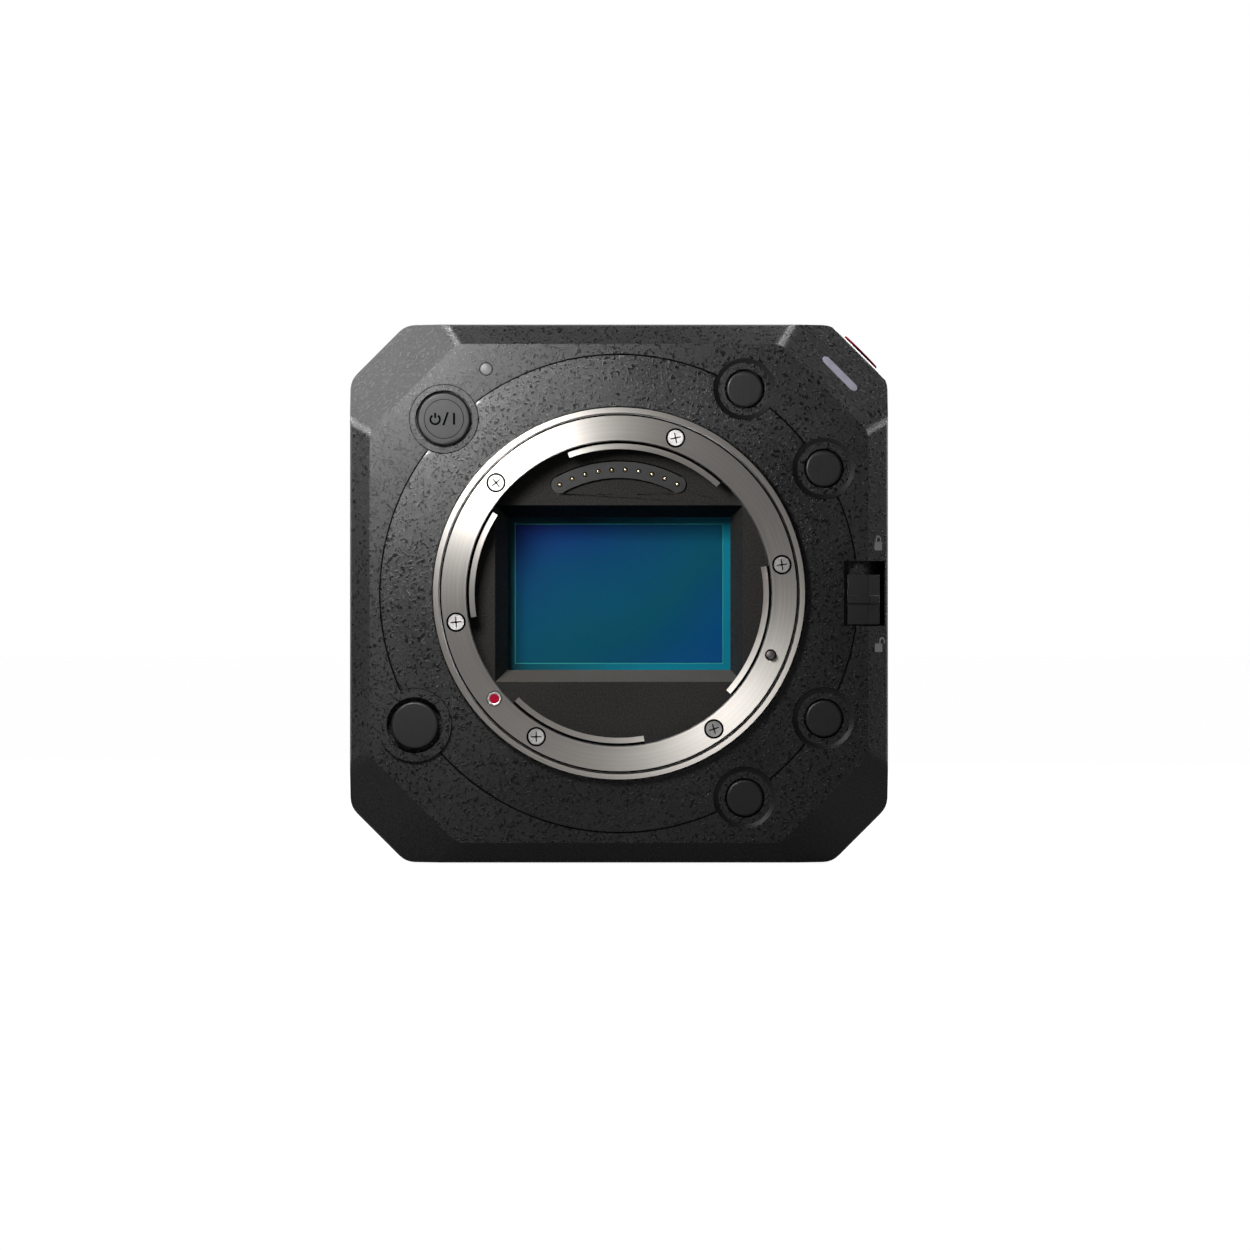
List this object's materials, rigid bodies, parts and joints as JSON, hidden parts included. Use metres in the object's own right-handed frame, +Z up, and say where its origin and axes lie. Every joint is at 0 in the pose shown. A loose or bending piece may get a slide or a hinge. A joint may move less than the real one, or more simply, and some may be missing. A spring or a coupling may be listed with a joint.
{
  "type": "box camera",
  "caption": "Cube-shaped video camera body with a round bayonet lens mount, bevelled front, push buttons, a lock switch and rear connectors.",
  "frame": {"origin": "centre of the bottom of the body's box, on the surface it stands on", "axes": "-Y out of the lens mount, +X to the right as seen from the front, +Z up"},
  "size_m": [0.093, 0.079, 0.093],
  "materials": {
    "housing": "fine textured paint",
    "cover": "fine textured paint",
    "panel": "smooth matte paint",
    "black_plastic": "matte",
    "button": "satin",
    "rubber": "matte",
    "light_trap": "matte",
    "mount_metal": "turned and brushed",
    "dark_metal": "satin anodised",
    "steel": "brushed",
    "bright_steel": "bright",
    "spring_steel": "satin",
    "cast_metal": "cast",
    "copper": "copper, satin",
    "gold": "gold plated",
    "board": "solder mask",
    "sensor": "coated silicon",
    "glass": "coated",
    "lamp": "milky",
    "red": "satin"
  },
  "bodies": {
    "camera": {"front_housing": "housing", "mount_cover": "cover", "mount_lip": "dark_metal", "mount_ring": "mount_metal", "mount_spring": "spring_steel", "mount_screws": "steel", "mount_bracket": "cast_metal", "index_post": "bright_steel", "index_mark": "red", "light_box": "light_trap", "contact_block": "black_plastic", "contact_pins": "gold", "sensor_glass": "glass", "image_sensor": "sensor", "sensor_bracket": "cast_metal", "sensor_board": "board", "heat_spreader": "copper", "heat_sink": "cast_metal", "body_screws": "steel", "mid_frame": "housing", "fan_frame": "black_plastic", "vent_cover": "panel", "main_board": "board", "key_board": "board", "side_panel": "panel", "card_slots": "cast_metal", "audio_jacks": "black_plastic", "hinge_pins": "steel", "top_plate": "panel", "shoe_rail": "steel", "base_plate": "panel", "threaded_inserts": "steel", "rear_housing": "housing", "battery_plate": "black_plastic", "battery_terminal": "black_plastic", "connector_panel": "dark_metal", "coax_jacks": "bright_steel", "port_shells": "bright_steel", "port_cores": "black_plastic", "record_ring": "red", "lamps": "lamp"},
    "power": {"power_button": "button"},
    "fn_1": {"fn_button_1": "button"},
    "fn_2": {"fn_button_2": "button"},
    "fn_3": {"fn_button_3": "button"},
    "fn_4": {"fn_button_4": "button"},
    "record": {"record_button": "button"},
    "lock": {"lock_switch": "button"},
    "set": {"cursor_set": "button"},
    "up": {"cursor_up": "button"},
    "down": {"cursor_down": "button"},
    "fore": {"cursor_fore": "button"},
    "aft": {"cursor_aft": "button"},
    "card_door": {"card_door": "panel"},
    "jack_cover": {"jack_cover": "rubber"},
    "latch": {"battery_latch": "button"},
    "fan": {"fan_rotor": "black_plastic"},
    "pin": {"lock_pin": "steel"},
    "release": {"release_button": "button", "release_lever": "steel"}
  },
  "joints": [
    {"name": "power_press", "type": "slide", "parent": "camera", "child": "power", "axis": [0, 1, 0], "range_m": [0, 0.0005], "stiffness_N_per_m": 200, "springref_m": -0.001},
    {"name": "fn_1_press", "type": "slide", "parent": "camera", "child": "fn_1", "axis": [0, 1, 0], "range_m": [0, 0.0005], "stiffness_N_per_m": 200, "springref_m": -0.001},
    {"name": "fn_2_press", "type": "slide", "parent": "camera", "child": "fn_2", "axis": [0, 1, 0], "range_m": [0, 0.0005], "stiffness_N_per_m": 200, "springref_m": -0.001},
    {"name": "fn_3_press", "type": "slide", "parent": "camera", "child": "fn_3", "axis": [0, 1, 0], "range_m": [0, 0.0005], "stiffness_N_per_m": 200, "springref_m": -0.001},
    {"name": "fn_4_press", "type": "slide", "parent": "camera", "child": "fn_4", "axis": [0, 1, 0], "range_m": [0, 0.0005], "stiffness_N_per_m": 200, "springref_m": -0.001},
    {"name": "release_press", "type": "slide", "parent": "camera", "child": "release", "axis": [0, 1, 0], "range_m": [0, 0.0016], "stiffness_N_per_m": 200, "springref_m": -0.001},
    {"name": "pin_retract", "type": "slide", "parent": "camera", "child": "pin", "axis": [0, 1, 0], "range_m": [0, 0.0016]},
    {"name": "record_press", "type": "slide", "parent": "camera", "child": "record", "axis": [-0.7071, 0, -0.7071], "range_m": [0, 0.0005], "stiffness_N_per_m": 200, "springref_m": -0.001},
    {"name": "lock_slide", "type": "slide", "parent": "camera", "child": "lock", "axis": [0, 0, 1], "range_m": [0, 0.0021]},
    {"name": "set_press", "type": "slide", "parent": "camera", "child": "set", "axis": [-1, 0, 0], "range_m": [0, 0.0004], "stiffness_N_per_m": 200, "springref_m": -0.001},
    {"name": "up_press", "type": "slide", "parent": "camera", "child": "up", "axis": [-1, 0, 0], "range_m": [0, 0.0004], "stiffness_N_per_m": 200, "springref_m": -0.001},
    {"name": "down_press", "type": "slide", "parent": "camera", "child": "down", "axis": [-1, 0, 0], "range_m": [0, 0.0004], "stiffness_N_per_m": 200, "springref_m": -0.001},
    {"name": "fore_press", "type": "slide", "parent": "camera", "child": "fore", "axis": [-1, 0, 0], "range_m": [0, 0.0004], "stiffness_N_per_m": 200, "springref_m": -0.001},
    {"name": "aft_press", "type": "slide", "parent": "camera", "child": "aft", "axis": [-1, 0, 0], "range_m": [0, 0.0004], "stiffness_N_per_m": 200, "springref_m": -0.001},
    {"name": "latch_slide", "type": "slide", "parent": "camera", "child": "latch", "axis": [0, 0, -1], "range_m": [0, 0.0025], "stiffness_N_per_m": 200, "springref_m": -0.001},
    {"name": "card_door_hinge", "type": "hinge", "parent": "camera", "child": "card_door", "pos_m": [0.0456, 0, 0.0134], "axis": [0, 1, 0], "range_deg": [0, 90]},
    {"name": "jack_cover_hinge", "type": "hinge", "parent": "camera", "child": "jack_cover", "pos_m": [0.0456, 0.0127, 0.0595], "axis": [0, 0, 1], "range_deg": [0, 90]},
    {"name": "fan_spin", "type": "hinge", "parent": "camera", "child": "fan", "pos_m": [-0.041, -0.003, 0.0465], "axis": [1, 0, 0], "continuous": true}
  ],
  "couplings": [
    {"joint": "pin_retract", "follows": "release_press", "ratio": 1}
  ]
}
